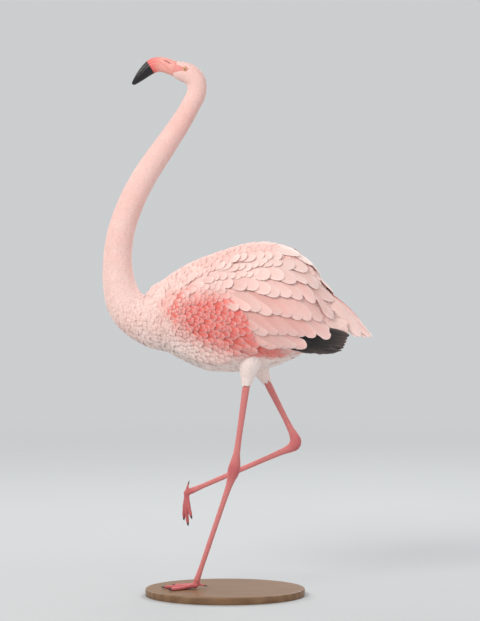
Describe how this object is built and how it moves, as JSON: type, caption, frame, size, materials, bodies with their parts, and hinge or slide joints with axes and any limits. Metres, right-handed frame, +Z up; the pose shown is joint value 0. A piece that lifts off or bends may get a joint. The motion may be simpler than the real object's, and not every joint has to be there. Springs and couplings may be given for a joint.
{
  "type": "greater flamingo",
  "caption": "Life-size still model of a greater flamingo on its left leg, right leg folded, neck in an S and bill forward, on an oval base.",
  "frame": {"origin": "middle of the underside of the oval display base", "axes": "+Z up, the bird looks towards -X, its left side faces -Y"},
  "size_m": [0.7249, 0.3, 1.4448],
  "materials": {
    "display_base": "oiled wood with an eased edge",
    "plumage": "soft pale pink and white feathers",
    "coverts": "coral pink wing coverts",
    "quills": "long pink feathers over black flight feathers",
    "bill": "pink horn with a black tip",
    "eye": "wet pale yellow iris and black pupil",
    "leg_skin": "scaled pink skin",
    "claw": "dull black horn"
  },
  "bodies": {
    "root": {"bill_lower": "bill", "bill_upper": "bill", "claw_left_hind": "claw", "claw_left_inner": "claw", "claw_left_middle": "claw", "claw_left_outer": "claw", "claw_right_hind": "claw", "claw_right_inner": "claw", "claw_right_middle": "claw", "claw_right_outer": "claw", "eye_left": "eye", "eye_right": "eye", "foot_left": "leg_skin", "foot_right": "leg_skin", "head": "plumage", "hind_toe_left": "leg_skin", "hind_toe_right": "leg_skin", "hock_left": "leg_skin", "hock_right": "leg_skin", "neck_lower": "plumage", "neck_middle": "plumage", "neck_upper": "plumage", "shank_left": "leg_skin", "shank_right": "leg_skin", "stand_base": "display_base", "tail": "plumage", "tarsus_left": "leg_skin", "tarsus_right": "leg_skin", "thigh_left": "plumage", "thigh_right": "plumage", "trunk": "plumage", "wing_left_coverts": "coverts", "wing_left_quills": "quills", "wing_right_coverts": "coverts", "wing_right_quills": "quills"}
  },
  "joints": []
}
